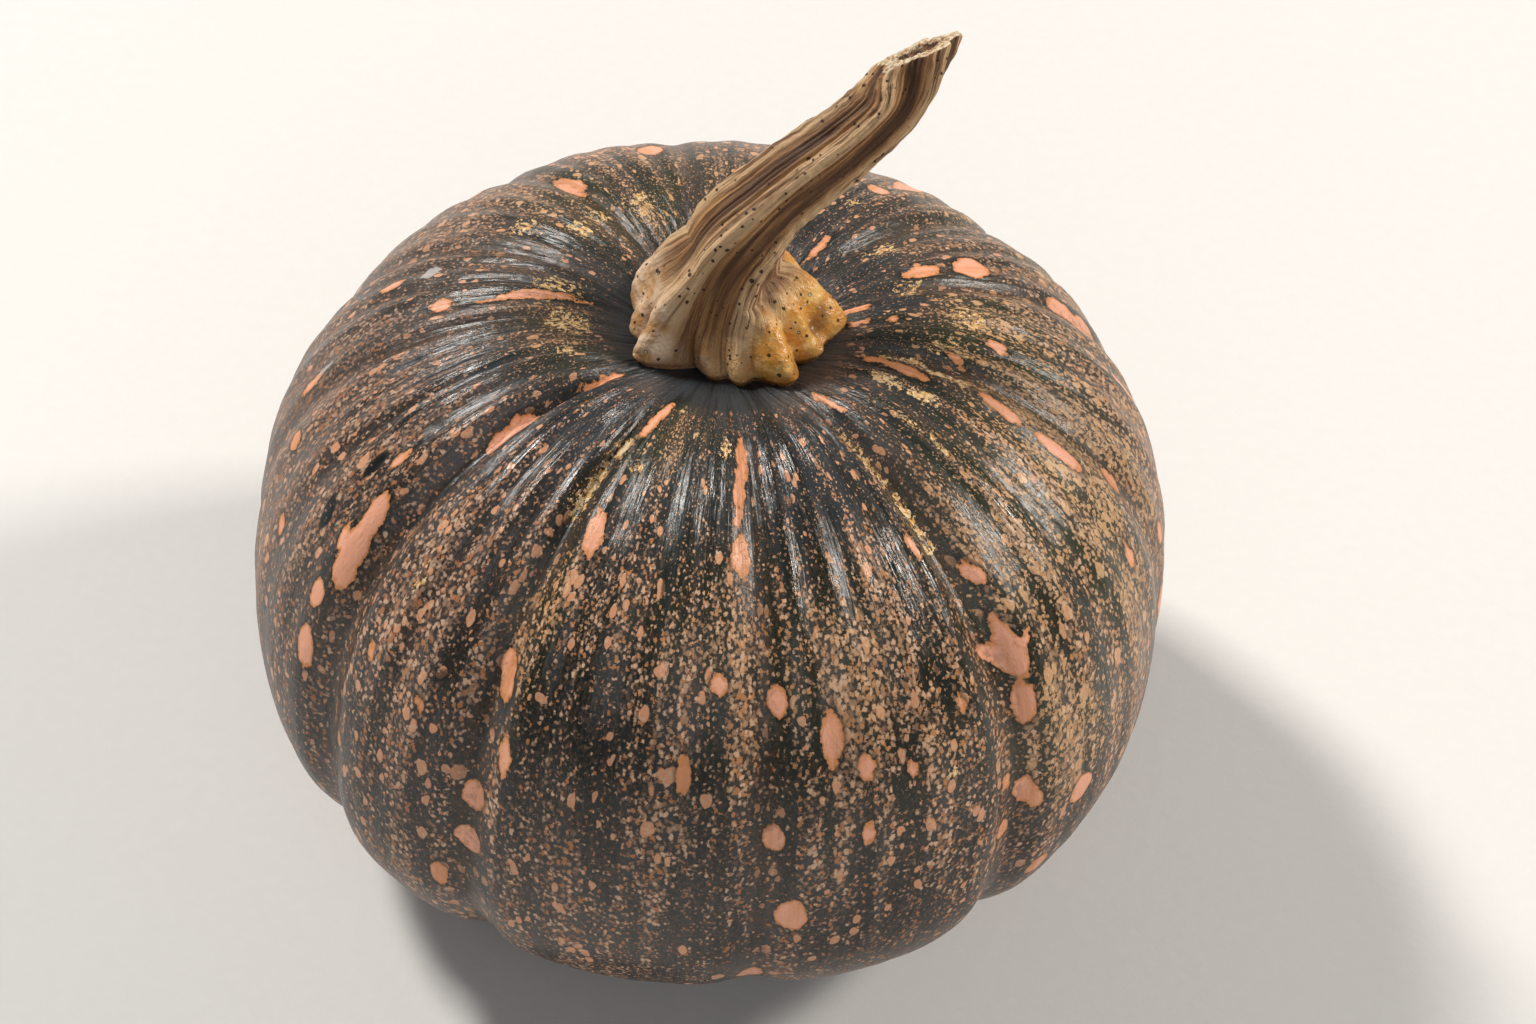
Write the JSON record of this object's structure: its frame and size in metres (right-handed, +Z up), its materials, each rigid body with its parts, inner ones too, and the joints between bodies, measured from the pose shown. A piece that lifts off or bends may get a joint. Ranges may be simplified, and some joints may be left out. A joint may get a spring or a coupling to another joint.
{
  "type": "pumpkin",
  "caption": "Whole ribbed dark-green pumpkin, squat and round, with a curved, ridged, cut stem, resting on its underside.",
  "frame": {"origin": "on the surface the pumpkin rests on, under the middle of its body", "axes": "+Z up along the fruit's own axis, -Y the side the picture is taken from, +X the side its stem leans to"},
  "size_m": [0.2208, 0.2193, 0.2167],
  "materials": {
    "rind": "waxy dark-green rind with a fine net of tan flecks and ragged peach blotches",
    "stem_wood": "dry tan woody stalk, fibrous along its ridges, ochre and warty at its foot"
  },
  "bodies": {
    "root": {"fruit": "rind", "stem": "stem_wood"}
  },
  "joints": []
}
